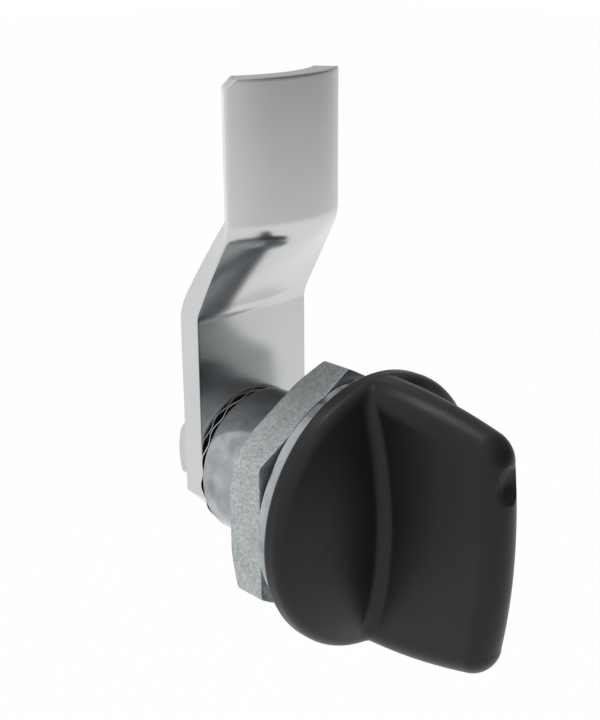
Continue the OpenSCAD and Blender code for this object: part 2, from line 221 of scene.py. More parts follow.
class NodeBench:
    """Lays out one procedural material on the piece's Object coordinates."""

    def __init__(self, name: str) -> None:
        """Starts a material that has only its shader and coordinates."""
        self.material = bpy.data.materials.new(name)
        self.material.use_nodes = True
        self.tree = self.material.node_tree
        self.tree.nodes.clear()
        output = self.tree.nodes.new("ShaderNodeOutputMaterial")
        self.shader = self.tree.nodes.new("ShaderNodeBsdfPrincipled")
        self.tree.links.new(self.shader.outputs["BSDF"], output.inputs["Surface"])
        self.place = self.tree.nodes.new("ShaderNodeTexCoord").outputs["Object"]

    def link(self, source: bpy.types.NodeSocket, target: bpy.types.NodeSocket) -> None:
        """Joins two sockets."""
        self.tree.links.new(source, target)

    def stretched(self, scale: tuple[float, float, float]) -> bpy.types.NodeSocket:
        """Gives the coordinates scaled along each axis."""
        mapping = self.tree.nodes.new("ShaderNodeMapping")
        mapping.inputs["Scale"].default_value = scale
        self.link(self.place, mapping.inputs["Vector"])
        return mapping.outputs["Vector"]

    def noise(self, size: float, detail: float, place: bpy.types.NodeSocket | None = None) -> bpy.types.NodeSocket:
        """Adds a cloud noise.

        Args:
            size: width of its features, in mm.
            detail: number of finer layers.
            place: coordinates to use in place of the plain ones.

        Returns:
            Its value socket.
        """
        node = self.tree.nodes.new("ShaderNodeTexNoise")
        node.inputs["Scale"].default_value = 1.0 / (size * MM)
        node.inputs["Detail"].default_value = detail
        node.inputs["Roughness"].default_value = 0.55
        self.link(place or self.place, node.inputs["Vector"])
        return node.outputs["Fac"]

    def crystals(self, size: float) -> bpy.types.NodeSocket:
        """Adds a pattern of flat cells of random tone, of a width in mm, and gives their tone."""
        node = self.tree.nodes.new("ShaderNodeTexVoronoi")
        node.inputs["Scale"].default_value = 1.0 / (size * MM)
        self.link(self.place, node.inputs["Vector"])
        tone = self.tree.nodes.new("ShaderNodeSeparateColor")
        self.link(node.outputs["Color"], tone.inputs["Color"])
        return tone.outputs["Red"]

    def mixed(self, a: bpy.types.NodeSocket, b: bpy.types.NodeSocket, share: float) -> bpy.types.NodeSocket:
        """Mixes two value sockets, with the second's share."""
        node = self.tree.nodes.new("ShaderNodeMix")
        node.inputs["Factor"].default_value = share
        self.link(a, node.inputs["A"])
        self.link(b, node.inputs["B"])
        return node.outputs["Result"]

    def spread(self, value: bpy.types.NodeSocket, low: float, high: float) -> bpy.types.NodeSocket:
        """Maps the usual reach of a noise, 0.3 to 0.7, to a range of values."""
        node = self.tree.nodes.new("ShaderNodeMapRange")
        for name, number in (("From Min", 0.3), ("From Max", 0.7), ("To Min", low), ("To Max", high)):
            node.inputs[name].default_value = number
        self.link(value, node.inputs["Value"])
        return node.outputs["Result"]

    def tones(self, value: bpy.types.NodeSocket, stops: list[tuple[float, tuple[float, float, float]]]) -> bpy.types.NodeSocket:
        """Maps a value to colours.

        Args:
            value: the value socket.
            stops: place and colour of each stop.

        Returns:
            The colour socket.
        """
        node = self.tree.nodes.new("ShaderNodeValToRGB")
        ramp = node.color_ramp
        while len(ramp.elements) < len(stops):
            ramp.elements.new(0.5)
        for element, (place, colour) in zip(ramp.elements, stops):
            element.position = place
            element.color = (*colour, 1.0)
        self.link(value, node.inputs["Fac"])
        return node.outputs["Color"]

    def bump(self, height: bpy.types.NodeSocket, depth: float, strength: float) -> None:
        """Raises the surface by a value, with a depth in mm and a strength."""
        node = self.tree.nodes.new("ShaderNodeBump")
        node.inputs["Distance"].default_value = depth * MM
        node.inputs["Strength"].default_value = strength
        self.link(height, node.inputs["Height"])
        self.link(node.outputs["Normal"], self.shader.inputs["Normal"])


@dataclass(frozen=True)
class Finish:
    """A finish with a light and a dark tone, broad clouds and a fine grain.

    Attributes:
        name: name of the material.
        light: lighter tone, linear.
        dark: darker tone, linear.
        metallic: 1 for bare metal.
        rough: lowest and highest roughness.
        cloud: width of the broad clouds, in mm.
        grain: width of the fine grain, in mm.
        relief: height of the grain, in mm.
        gloss: specular level of the shader.
    """

    name: str
    light: tuple[float, float, float]
    dark: tuple[float, float, float]
    metallic: float
    rough: tuple[float, float]
    cloud: float
    grain: float
    relief: float
    gloss: float = 0.5

    def pattern(self, bench: NodeBench) -> bpy.types.NodeSocket:
        """Value from 0 to 1 that runs between the two tones: clouds with a little grain."""
        return bench.mixed(bench.noise(self.cloud, 3.0), bench.noise(self.grain, 2.0), 0.35)

    def relief_of(self, bench: NodeBench) -> bpy.types.NodeSocket:
        """Height of the surface: the fine grain."""
        return bench.noise(self.grain, 3.0)

    def material(self) -> bpy.types.Material:
        """Builds the material: tones and roughness follow the pattern, and the grain raises the surface.

        Returns:
            The material, shared by all pieces with this finish.
        """
        name = f"finish_{self.name}"
        known = bpy.data.materials.get(name)
        if known is not None:
            return known
        bench = NodeBench(name)
        value = self.pattern(bench)
        shader = bench.shader.inputs
        shader["Metallic"].default_value = self.metallic
        shader["Specular IOR Level"].default_value = self.gloss
        bench.link(bench.tones(value, [(0.3, self.dark), (0.7, self.light)]), shader["Base Color"])
        bench.link(bench.spread(bench.noise(self.cloud * 0.7, 4.0), *self.rough), shader["Roughness"])
        bench.bump(self.relief_of(bench), self.relief, 1.0)
        return bench.material


@dataclass(frozen=True)
class SpangledFinish(Finish):
    """Galvanised surface: flat crystals of random tone over the clouds."""

    crystal: float = 0.5

    def pattern(self, bench: NodeBench) -> bpy.types.NodeSocket:
        """Crystals in two widths, softened by fine noise, over broad clouds."""
        cells = bench.mixed(bench.crystals(self.crystal), bench.crystals(self.crystal * 0.45), 0.4)
        speckle = bench.mixed(cells, bench.noise(self.grain, 3.0), 0.5)
        return bench.mixed(speckle, bench.noise(self.cloud, 3.0), 0.25)


@dataclass(frozen=True)
class DrawnFinish(Finish):
    """Rolled or drawn metal: its grain is pulled out along one direction.

    Attributes:
        pull: scale of the grain along X, Y and Z.
    """

    pull: tuple[float, float, float] = (1.0, 1.0, 0.08)

    def relief_of(self, bench: NodeBench) -> bpy.types.NodeSocket:
        """Height of the surface: grain drawn out into faint lines."""
        return bench.noise(self.grain, 2.0, bench.stretched(self.pull))


MATTE_BLACK = Finish("matte_black", (0.0080, 0.0080, 0.0084), (0.0062, 0.0062, 0.0065), 0.0, (0.34, 0.42), 6.0, 0.16, 0.004, 0.3)
GALVANISED = SpangledFinish("galvanised", (0.57, 0.61, 0.61), (0.29, 0.32, 0.32), 1.0, (0.36, 0.50), 4.0, 0.14, 0.004, crystal=0.26)
SATIN_ZINC = DrawnFinish("satin_zinc", (0.63, 0.635, 0.64), (0.59, 0.595, 0.60), 1.0, (0.18, 0.23), 7.0, 0.12, 0.0006)
BRIGHT_ZINC = Finish("bright_zinc", (0.47, 0.49, 0.51), (0.25, 0.265, 0.285), 1.0, (0.10, 0.22), 2.4, 1.6, 0.014)
SCREW_ZINC = Finish("zinc_screw", (0.62, 0.63, 0.64), (0.52, 0.53, 0.54), 1.0, (0.20, 0.30), 2.0, 0.2, 0.002)
SPRING_STEEL = Finish("bright_spring", (0.72, 0.72, 0.73), (0.60, 0.60, 0.61), 1.0, (0.16, 0.26), 2.0, 0.15, 0.001)
BLACK_SPRING = Finish("black_spring", (0.020, 0.020, 0.022), (0.010, 0.010, 0.012), 0.6, (0.34, 0.48), 2.0, 0.12, 0.002)
SEAL_RUBBER = Finish("black_rubber", (0.016, 0.016, 0.016), (0.009, 0.009, 0.009), 0.0, (0.50, 0.62), 2.0, 0.12, 0.003, 0.35)


def dress(piece: bpy.types.Object, finish: Finish) -> None:
    """Gives a piece one finish all over.

    Args:
        piece: the piece, new or carried over from the CAD model.
        finish: its finish.
    """
    piece.data.materials.clear()
    piece.data.materials.append(finish.material())


def fit(piece: bpy.types.Object, body: Body, node: str, finish: Finish) -> None:
    """Dresses a new piece, puts it on its body and lets it stand for its CAD node.

    Args:
        piece: the new piece.
        body: the body that it rides on.
        node: the CAD node that it replaces.
        finish: its finish.
    """
    dress(piece, finish)
    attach(piece, body.value)
    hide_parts(node)
    LOG.info("%s: %d faces, on %s", piece.name, len(piece.data.polygons), body.value)


# Sub-assemblies, with sizes in mm. Distances along the axis are positive towards the knob.


@dataclass(frozen=True)
class Loop:
    """Closed line of stations round the knob's wing, as arrays of equal length.

    Attributes:
        side: 1 on the right of the wing to -1 on its left.
        along: -1 at the wing's lower end to 1 at its upper end.
        turn: direction in which the outline is rounded, in radians.
        ray: direction in which the station meets the rim, in radians.
    """

    side: np.ndarray
    along: np.ndarray
    turn: np.ndarray
    ray: np.ndarray


@dataclass
class WingKnob:
    """Black knob: a domed disc with a tapered wing, a dished position mark on its crest and a square socket."""

    diameter: float = 31.7
    back: float = 2.9
    wall: float = 1.4
    dome_radius: float = 44.0
    rim_radius: float = 1.6
    edge: float = 0.5
    wing_height: float = 19.8
    wing_length: float = 31.7
    wing_thickness: float = 6.4
    wing_corner: float = 2.6
    crest_length: float = 27.8
    crest_radius: float = 2.6
    crest_bulge: float = 0.8
    crest_peak: float = 1.5
    fillet: float = 1.4
    fillet_end: float = 2.2
    mark_diameter: float = 4.1
    mark_position: float = 9.05
    mark_depth: float = 1.1
    socket: float = 8.1
    socket_depth: float = 4.05
    corner_ray: float = 71.5

    def __post_init__(self) -> None:
        """Works out the heights that follow from the sizes."""
        self.rim_x = self.diameter / 2 - self.rim_radius
        self.rim_z = self.back + self.wall
        self.dome_center = self.rim_z - float(np.sqrt((self.dome_radius - self.rim_radius) ** 2 - self.rim_x**2))
        self.rim_touch = self.rim_x * self.dome_radius / (self.dome_radius - self.rim_radius)
        self.rod_z = self.back + self.wing_height - self.crest_radius
        self.rod_y = self.crest_length / 2 - self.crest_radius

    def loop(self) -> Loop:
        """Walks round the wing: upper end from right to left, down the left side, lower end, up the right side.

        Returns:
            The stations, closest together along the position mark.
        """
        quarter = np.linspace(0.0, 0.5 * np.pi, 13)
        flat = np.linspace(1.0, -1.0, 12)[1:-1]
        end_side = np.concatenate([np.ones(13), flat, -np.ones(13)])
        end_turn = np.concatenate([quarter, np.full(flat.size, 0.5 * np.pi), quarter + 0.5 * np.pi])
        lean = np.radians(90.0 - self.corner_ray)
        end_ray = 0.5 * np.pi - lean * np.linspace(1.0, -1.0, end_side.size)
        low, high = (self.mark_position + k * self.mark_diameter * 0.56 for k in (-1.0, 1.0))
        rise = np.concatenate([
            np.linspace(-1.0, low / self.rod_y, 64),
            np.linspace(low / self.rod_y, min(0.995, high / self.rod_y), 56)[1:],
            np.linspace(min(0.995, high / self.rod_y), 1.0, 6)[1:]])[1:-1]
        fall = rise[::-1]
        corner = np.radians(self.corner_ray)
        return Loop(
            np.concatenate([end_side, -np.ones(fall.size), -end_side, np.ones(rise.size)]),
            np.concatenate([np.ones(end_side.size), fall, -np.ones(end_side.size), rise]),
            np.concatenate([end_turn, np.full(fall.size, np.pi), end_turn + np.pi, np.full(rise.size, 2 * np.pi)]),
            np.concatenate([end_ray, np.pi - fall * corner, end_ray + np.pi, 2 * np.pi + rise * corner]))

    def disc_height(self, x: np.ndarray, y: np.ndarray) -> np.ndarray:
        """Front of the disc: a sphere of the dome's radius, then a circle of the rim's radius round the edge.

        Args:
            x: distances to the right, in mm.
            y: heights above the axis, in mm.

        Returns:
            Distances along the axis, in mm.
        """
        r = np.hypot(x, y)
        dome = self.dome_center + np.sqrt(self.dome_radius**2 - np.minimum(r, self.diameter) ** 2)
        rim = self.rim_z + np.sqrt(np.maximum(0.0, self.rim_radius**2 - (r - self.rim_x) ** 2))
        return np.where(r < self.rim_touch, dome, rim)

    def crown(self, loop: Loop) -> np.ndarray:
        """Height at which the crest's rounding starts, which falls off with the square of the distance from its peak."""
        return self.rod_z - self.crest_bulge * (loop.along - self.crest_peak / self.rod_y) ** 2

    def wing(self, loop: Loop, share: np.ndarray) -> tuple[np.ndarray, np.ndarray, np.ndarray]:
        """Side of the wing: a rounded outline, kept within the disc, that narrows evenly and shortens with the height squared.

        Args:
            loop: stations round the wing.
            share: 0 at the foot to 1 at the crest's rounding, by row.

        Returns:
            The x, y and z of the points, in mm.
        """
        radius = self.wing_corner + (self.crest_radius - self.wing_corner) * share
        half = self.wing_thickness / 2 + (self.crest_radius - self.wing_thickness / 2) * share
        reach = self.wing_length / 2 + (self.crest_length - self.wing_length) / 2 * share**2
        x = loop.side * (half - radius) + radius * np.cos(loop.turn)
        y = loop.along * (reach - radius) + radius * np.sin(loop.turn)
        limit = np.sqrt((self.diameter / 2 - 0.02) ** 2 - x**2)
        return x, np.clip(y, -limit, limit), self.rim_z + (self.crown(loop) - self.rim_z) * share

    def dished(self, x: np.ndarray, y: np.ndarray, z: np.ndarray) -> np.ndarray:
        """Presses the position mark into the crest: the lower of the crest and a sphere's underside.

        Args:
            x: distances to the right, in mm.
            y: heights above the axis, in mm.
            z: distances along the axis before pressing, in mm.

        Returns:
            Distances along the axis after pressing, in mm.
        """
        ball = ((self.mark_diameter / 2) ** 2 + self.mark_depth**2) / (2 * self.mark_depth)
        top = self.rod_z + self.crest_radius - self.crest_bulge * ((self.mark_position - self.crest_peak) / self.rod_y) ** 2
        away = x**2 + (y - self.mark_position) ** 2
        floor = top - self.mark_depth + ball - np.sqrt(np.maximum(0.0, ball**2 - away))
        return np.where(away < (1.3 * self.mark_diameter / 2) ** 2, soft_min(z, floor, 0.12), z)

    def rows(self) -> np.ndarray:
        """Carries the loop from the crest down the wing, over the fillet and disc, round the rim and into the socket.

        Returns:
            Points by row and station, in metres.
        """
        loop = self.loop()
        angle = np.linspace(0.0, 0.5 * np.pi, 44)[:, None]
        radius = self.crest_radius * np.sin(angle)
        above = self.crest_radius * np.cos(angle)
        lean = (self.wing_length - self.crest_length) / (self.crown(loop) - self.rim_z)
        x, y = radius * np.cos(loop.turn), loop.along * (self.rod_y - lean * above) + radius * np.sin(loop.turn)
        crest = x, y, self.dished(x, y, self.crown(loop) + above)

        foot_x, foot_y, _ = self.wing(loop, np.zeros(1))
        outward = foot_x * np.cos(loop.turn) + foot_y * np.sin(loop.turn)
        room = np.sqrt(np.maximum(0.0, self.diameter**2 / 4 - foot_x**2 - foot_y**2 + outward**2)) - outward
        fading = self.fillet * (self.diameter / 2 - np.abs(foot_y)) / self.fillet_end
        fillet = np.maximum(soft_min(np.minimum(0.8 * room, fading), np.full_like(fading, self.fillet), 0.4), 0.01)
        foot = (self.disc_height(foot_x, foot_y) + fillet - self.rim_z) / (self.crown(loop) - self.rim_z)
        down = np.linspace(0.0, 1.0, 36)[1:, None]
        side = self.wing(loop, 1.0 - (1.0 - foot) * down)

        start_x, start_y, _ = self.wing(loop, foot)
        angle = np.linspace(0.0, 0.5 * np.pi, 13)[1:, None]
        out = fillet * (1 - np.cos(angle))
        x, y = start_x + out * np.cos(loop.turn), start_y + out * np.sin(loop.turn)
        crease = x, y, self.disc_height(x, y) + fillet * (1 - np.sin(angle))

        start_x, start_y = x[-1], y[-1]
        reach = np.minimum(np.maximum(self.rim_touch, np.hypot(start_x, start_y) + self.rim_radius / 40), self.diameter / 2 - 0.005)
        out = np.linspace(0.0, 1.0, 30)[1:, None]
        x = start_x + (reach * np.cos(loop.ray) - start_x) * out
        y = start_y + (reach * np.sin(loop.ray) - start_y) * out
        disc = x, y, self.disc_height(x, y)

        first = np.arcsin(np.clip((reach - self.rim_x) / self.rim_radius, -1.0, 1.0))
        angle = first + (0.5 * np.pi - first) * np.linspace(0.0, 1.0, 15)[1:, None]
        radius = self.rim_x + self.rim_radius * np.sin(angle)
        rim = radius * np.cos(loop.ray), radius * np.sin(loop.ray), self.rim_z + self.rim_radius * np.cos(angle)

        turned = np.linspace(0.0, 0.5 * np.pi, 7)
        radius = np.concatenate([np.full(5, self.diameter / 2), self.diameter / 2 - self.edge * (1 - np.cos(turned))])
        height = np.concatenate([np.linspace(self.rim_z, self.back + self.edge, 6)[1:], self.back + self.edge * (1 - np.sin(turned))])
        edge = radius[:, None] * np.cos(loop.ray), radius[:, None] * np.sin(loop.ray), height[:, None]

        square = self.socket / 2 / np.maximum(np.abs(np.cos(loop.ray)), np.abs(np.sin(loop.ray)))
        share = np.concatenate([np.linspace(0.0, 1.0, 14)[1:], np.ones(8)])[:, None]
        radius = radius[-1] + (square - radius[-1]) * share
        radius = np.concatenate([radius, square * np.linspace(1.0, 0.0, 8)[1:, None]])
        height = np.concatenate([np.full(13, self.back), np.linspace(self.back, self.back + self.socket_depth, 8), np.full(7, self.back + self.socket_depth)])
        inside = radius * np.cos(loop.ray), radius * np.sin(loop.ray), height[:, None]
        return np.concatenate([to_frame(*part) for part in (crest, side, crease, disc, rim, edge, inside)])

    def build(self) -> None:
        """Makes the knob and dresses it."""
        shell = Shell()
        shell.add(self.rows(), closed=True)
        fit(shell.piece("knob_skin"), Body.ROTOR, "wing_knob", MATTE_BLACK)


@dataclass
class Cam:
    """Cranked cam: a strip with a square hole that leans forward while its section bows into an arc."""

    width: float = 17.0
    tip_width: float = 16.1
    thickness: float = 3.0
    front: float = -15.65
    reach: float = 46.6
    crank_start: float = 18.7
    crank_end: float = 31.1
    crank: float = 8.3
    bend_share: float = 0.205
    bow: float = 36.7
    tip_chamfer: float = 1.1
    tail: float = 8.0
    tail_chamfer: float = 5.6
    hole: float = 7.1
    edge: float = 0.22

    def lean_share(self, height: np.ndarray) -> tuple[np.ndarray, np.ndarray]:
        """Share of the crank reached at a height: parabola, straight line, parabola.

        Args:
            height: heights above the axis, in mm.

        Returns:
            The share from 0 to 1, and its slope per mm.
        """
        rise = self.crank_end - self.crank_start
        t = np.clip((height - self.crank_start) / rise, 0.0, 1.0)
        b = self.bend_share
        low, high = t**2 / (2 * b * (1 - b)), 1 - (1 - t) ** 2 / (2 * b * (1 - b))
        share = np.where(t < b, low, np.where(t > 1 - b, high, (t - b / 2) / (1 - b)))
        return share, np.minimum(np.minimum(t, 1 - t), b) / (b * (1 - b)) / rise

    def placed(self, across: np.ndarray, through: np.ndarray, height: np.ndarray) -> np.ndarray:
        """Bends the flat strip: its section is rolled round an arc, then tipped square to the cranked middle line.

        Args:
            across: distances from the strip's middle to the right, in mm.
            through: distances from its middle layer to the front, in mm.
            height: heights of the middle line, in mm.

        Returns:
            Points in metres.
        """
        share, slope = self.lean_share(height)
        angle = np.maximum(np.radians(self.bow) * share, 1e-4)
        mid_radius = self.width / 2 / angle
        roll = across / mid_radius
        x = (mid_radius + through) * np.sin(roll)
        out = (mid_radius + through) * np.cos(roll) - mid_radius
        lean = np.arctan(self.crank * slope)
        middle = self.front - self.thickness / 2 + self.crank * share
        return to_frame(x, height - out * np.sin(lean), middle + out * np.cos(lean))

    def columns(self, half: np.ndarray, count: int) -> np.ndarray:
        """Places from the middle to an edge: the first third even up to the hole's side, the rest even up to the edge.

        Args:
            half: distance from the middle to the edge, by row, in mm.
            count: number of columns on each side of the hole's side.

        Returns:
            Distances by row and column, in mm.
        """
        inner = np.minimum(self.hole / 2, 0.7 * half)
        share = np.linspace(0.0, 1.0, count + 1)
        return np.concatenate([inner * share, inner + (half - inner) * share[1:]], axis=1)

    def build(self) -> None:
        """Makes the strip with rounded edges, closes its ends and the walls of its hole, and dresses it."""
        hole = self.hole / 2
        turn = np.linspace(0.0, 0.5 * np.pi, 6)
        shoulder = self.tail_chamfer - self.tail
        bend = (self.crank_end - self.crank_start) * self.bend_share
        knots = [-self.tail + self.edge, -hole, shoulder, hole, self.crank_start, self.crank_start + bend,
                 self.crank_end - bend, self.crank_end, self.reach - self.tip_chamfer, self.reach - self.edge]
        spacing = [0.3, 0.3, 0.3, 0.3, 0.08, 0.3, 0.08, 0.3, 0.3]
        middle = np.concatenate([steps_between(a, b, c) for a, b, c in zip(knots[:-1], knots[1:], spacing)])
        height = np.concatenate([
            -self.tail + self.edge * (1 - np.cos(turn[:-1])), middle, self.reach - self.edge * (1 - np.sin(turn))])[:, None]
        inset = np.concatenate([
            self.edge * (1 - np.sin(turn[:-1])), np.zeros(middle.size), self.edge * (1 - np.cos(turn))])[:, None]
        cut = np.maximum(0.0, self.tail_chamfer - self.tail - height)
        taper = (self.width - self.tip_width) / 2 * self.lean_share(height)[0]
        right = self.width / 2 - taper - cut - inset
        left = right - np.maximum(0.0, self.tip_chamfer - self.reach + height)
        face = self.thickness / 2 - inset
        curl = self.edge - inset

        front = np.concatenate([-self.columns(left - curl, 16)[:, :0:-1], self.columns(right - curl, 16)], axis=1)
        fan = np.linspace(0.5 * np.pi, 0.0, 6)[1:]
        flat = np.linspace(1.0, -1.0, 11)[1:-1]
        rim_out = np.concatenate([np.cos(fan), np.ones(9), np.cos(fan[::-1])])
        rim_in = np.concatenate([np.sin(fan), np.zeros(9), -np.sin(fan[::-1])])
        rim_flat = np.concatenate([np.ones(5), flat, -np.ones(5)])
        rim_face = (face - curl) * rim_flat + curl * rim_in
        across = np.concatenate([front, right - curl + curl * rim_out, front[:, ::-1], -(left - curl + curl * rim_out)], axis=1)
        through = np.concatenate([face + 0 * front, rim_face, -face + 0 * front, -rim_face], axis=1)

        shell = Shell()
        wide, tall = front.shape[1], height.shape[0]
        index = np.arange(across.shape[1])
        on_front, on_rear = index < wide, (index >= wide + rim_out.size) & (index < 2 * wide + rim_out.size)
        middle_x = (across + np.roll(across, -1, axis=1)) / 2
        middle_h = (height[:-1] + height[1:]) / 2
        in_hole = (np.abs(middle_x[:-1]) < hole) & (np.abs(middle_h) < hole) & (on_front | on_rear)
        shell.add(self.placed(across, through, height), closed=True, skip=in_hole)
        layers = np.concatenate([[1.0], rim_flat[5:-5], [-1.0]])[:, None]
        for row in (0, tall - 1):
            shell.add(self.placed(front[row][None, :], face[row] * layers, height[row]))
        sides = front[np.argmin(np.abs(height[:, 0]))]
        sides = sides[np.abs(sides) <= hole + 1e-6]
        rows = height[np.abs(height[:, 0]) <= hole + 1e-6, 0]
        depth = self.thickness / 2 * np.linspace(1.0, -1.0, 9)[:, None]
        for end in (-hole, hole):
            shell.add(self.placed(sides[None, :], depth, np.array(end)))
            shell.add(self.placed(np.array(end), depth, rows[None, :]))
        fit(shell.piece("cam_strip"), Body.ROTOR, "cam", SATIN_ZINC)


@dataclass
class Housing:
    """Flanged housing that goes through the panel, with a bore for the spindle and a pocket for its stop lug."""

    body_diameter: float = 18.0
    length: float = 15.0
    flange_diameter: float = 29.0
    flange: float = 2.6
    seat_edge: float = 0.75
    edge: float = 0.3
    bore: float = 5.05
    clip_bore: float = 7.4
    clip_floor: float = -13.46
    pocket_radius: float = 7.12
    pocket_floor: float = -1.5
    pocket_start: float = 249.0
    pocket_span: float = 132.0

    def build(self) -> None:
        """Turns the profile round the axis; in the pocket's sector its inner part steps out to the pocket's wall."""
        body, rim, e = self.body_diameter / 2, self.flange_diameter / 2, self.edge
        line = rounded_profile([
            (self.bore, self.clip_floor, 0.0), (self.bore, self.pocket_floor, 0.0),
            (self.pocket_radius, self.pocket_floor, 0.0), (self.pocket_radius, self.flange, 0.1),
            (rim, self.flange, e), (rim, self.seat_edge, 0.2), (rim - self.seat_edge, 0.0, 0.2), (body, 0.0, 0.15),
            (body, -self.length, e),
            (self.clip_bore, -self.length, 0.15), (self.clip_bore, self.clip_floor, 0.0)], 0.3)
        radius, ahead = line[:, 0], line[:, 1]
        wall = (radius <= self.pocket_radius + 1e-9) & (ahead >= self.pocket_floor - 1e-9)
        face = (radius > self.pocket_radius) & (ahead > self.flange - 1e-9)
        widen = (rim - e - self.bore) / (rim - e - self.pocket_radius)
        plain = np.where(wall, self.bore, radius)
        plain = np.where(face & (radius < rim - e), rim - e - (rim - e - radius) * widen, plain)
        start, span = np.radians(self.pocket_start), np.radians(self.pocket_span)
        sector = np.linspace(start, start + span, 90)
        rest = np.linspace(start + span, start + 2 * np.pi, 156)
        angle = np.concatenate([sector, rest])
        pocket = np.concatenate([np.ones(sector.size, dtype=bool), np.zeros(rest.size, dtype=bool)])
        radius = np.where(pocket[None, :], radius[:, None], plain[:, None])
        shell = Shell()
        shell.add(around_axis(radius, angle[None, :], ahead[:, None]), closed=True, ring=True)
        fit(shell.piece("housing_turned"), Body.FIXED, "housing", BRIGHT_ZINC)


@dataclass
class MountingNut:
    """Large hexagon nut that clamps the flange to the panel, with a cone over the corners of its rear end."""

    across_flats: float = 27.0
    height: float = 4.8
    bore: float = 9.05
    cut: float = 0.98
    edge: float = 0.1
    corner: float = 0.1
    bore_edge: float = 0.5

    def build(self) -> None:
        """Side at an angle and height: the lower of hexagon and cone, with rounded ends, faces and a chamfered bore."""
        angle = np.linspace(0.0, 2 * np.pi, 720, endpoint=False)[None, :]
        flat = hexagon_radius(angle, self.across_flats, self.corner)
        turn = np.linspace(0.0, 0.5 * np.pi, 6)
        rise = np.concatenate([self.edge * (1 - np.cos(turn)), np.linspace(self.edge, self.height / 2, 26)[1:]])
        inset = np.concatenate([self.edge * (1 - np.sin(turn)), np.zeros(25)])
        rise, inset = np.concatenate([rise, self.height - rise[-2::-1]])[:, None], np.concatenate([inset, inset[-2::-1]])[:, None]
        cone = self.across_flats / SQRT3 - SQRT3 * (self.cut - rise)
        side = soft_min(flat, np.maximum(cone, self.across_flats / 2), 0.06) - inset
        mouth = self.bore + self.bore_edge
        share = np.linspace(0.0, 1.0, 16)[1:-1, None]
        lower = mouth + (side[0] - mouth) * share
        upper = side[-1] + (mouth - side[-1]) * share
        inner = np.array([mouth, self.bore] + [self.bore] * 8 + [mouth])[:, None] + 0 * angle
        inner_rise = np.concatenate([[self.height], np.linspace(self.height - self.bore_edge, self.bore_edge, 9), [0.0]])
        radius = np.concatenate([lower, side, upper, inner])
        ahead = np.concatenate([np.zeros(14), rise[:, 0], np.full(14, self.height), inner_rise])[:, None] - self.height
        shell = Shell()
        shell.add(around_axis(radius, angle, ahead), closed=True, ring=True)
        fit(shell.piece("nut_hexagon"), Body.FIXED, "mounting_nut", GALVANISED)


@dataclass
class WaveWasher:
    """Thin spring ring between housing and cam, whose height follows a cosine."""

    inner: float = 7.52
    outer: float = 8.9
    middle: float = -15.325
    swing: float = 0.2
    thickness: float = 0.15
    waves: int = 16
    turn: float = 16.8

    def build(self) -> None:
        """Carries a thin rounded section round the axis and lifts it by swing times the cosine of waves times the angle."""
        angle = np.linspace(0.0, 2 * np.pi, 36 * self.waves, endpoint=False)[None, :]
        half = self.thickness / 2
        line = rounded_profile([
            (self.inner, -half, 0.05), (self.outer, -half, 0.05), (self.outer, half, 0.05), (self.inner, half, 0.05)], 0.2)
        lift = self.middle + self.swing * np.cos(self.waves * (angle - np.radians(self.turn)))
        shell = Shell()
        shell.add(around_axis(line[:, :1], angle, lift + line[:, 1:]), closed=True, ring=True)
        fit(shell.piece("wave_ring"), Body.FIXED, "wave_washer", SPRING_STEEL)


@dataclass
class CamScrew:
    """Hexagon screw with its split lock washer, which holds the cam on the spindle."""

    diameter: float = 6.0
    length: float = 14.0
    head: float = 10.0
    head_height: float = 4.0
    head_cut: float = 0.4
    seat: float = -20.25
    washer: float = 1.6
    washer_width: float = 2.3
    washer_bore: float = 3.1
    slit: float = 0.6

    def build_screw(self) -> None:
        """Head as the lower of hexagon and cone over a flat end, then the shank turned down to its point."""
        angle = np.linspace(0.0, 2 * np.pi, 360, endpoint=False)[None, :]
        flat = hexagon_radius(angle, self.head, 0.08)
        rise = np.concatenate([np.linspace(0.0, self.head_cut * 1.5, 14), np.linspace(self.head_cut * 1.5, self.head_height, 14)[1:]])
        cone = np.maximum(self.head / SQRT3 - SQRT3 * (self.head_cut - rise), self.head / 2 * 0.97)[:, None]
        side = soft_min(flat, cone, 0.05)
        end = side[0] * np.linspace(0.0, 1.0, 18)[:-1, None]
        shank, point = self.diameter / 2, self.diameter / 8
        under = side[-1] + (shank - side[-1]) * np.linspace(0.0, 1.0, 10)[1:, None]
        stem = np.concatenate([np.full(30, shank), [shank - point], np.linspace(shank - point, 0.0, 6)[1:]])[:, None] + 0 * angle
        stem_rise = np.concatenate([np.linspace(0.0, self.length - point, 31)[1:], np.full(6, self.length)])
        radius = np.concatenate([end, side, under, stem])
        ahead = np.concatenate([np.zeros(17), rise, np.full(9, self.head_height), self.head_height + stem_rise])
        shell = Shell()
        shell.add(around_axis(radius, angle, (self.seat - self.head_height + ahead)[:, None]), closed=True)
        fit(shell.piece("screw_hexagon"), Body.ROTOR, "cam_screw", SCREW_ZINC)

    def build_washer(self) -> None:
        """Carries a rounded section almost once round the axis, from one face of a slanted slit to the other."""
        outer = self.washer_bore + self.washer_width
        line = rounded_profile([
            (self.washer_bore, 0.0, 0.2), (outer, 0.0, 0.2), (outer, self.washer, 0.2), (self.washer_bore, self.washer, 0.2)], 0.25)
        radius, rise = line[:, :1], line[:, 1:]
        slant = (rise - self.washer / 2) * np.tan(np.radians(30.0))
        start = 1.5 * np.pi + (slant + self.slit / 2) / radius
        end = 3.5 * np.pi + (slant - self.slit / 2) / radius
        angle = start + (end - start) * np.linspace(0.0, 1.0, 180)[None, :]
        grid = around_axis(radius, angle, self.seat + rise)
        shell = Shell()
        shell.add(grid, ring=True)
        for column in (0, -1):
            rim = grid[:, column]
            shell.add(rim + (rim.mean(axis=0) - rim) * np.linspace(0.0, 1.0, 5)[:, None, None], closed=True)
        fit(shell.piece("split_washer"), Body.ROTOR, "lock_washer", SCREW_ZINC)


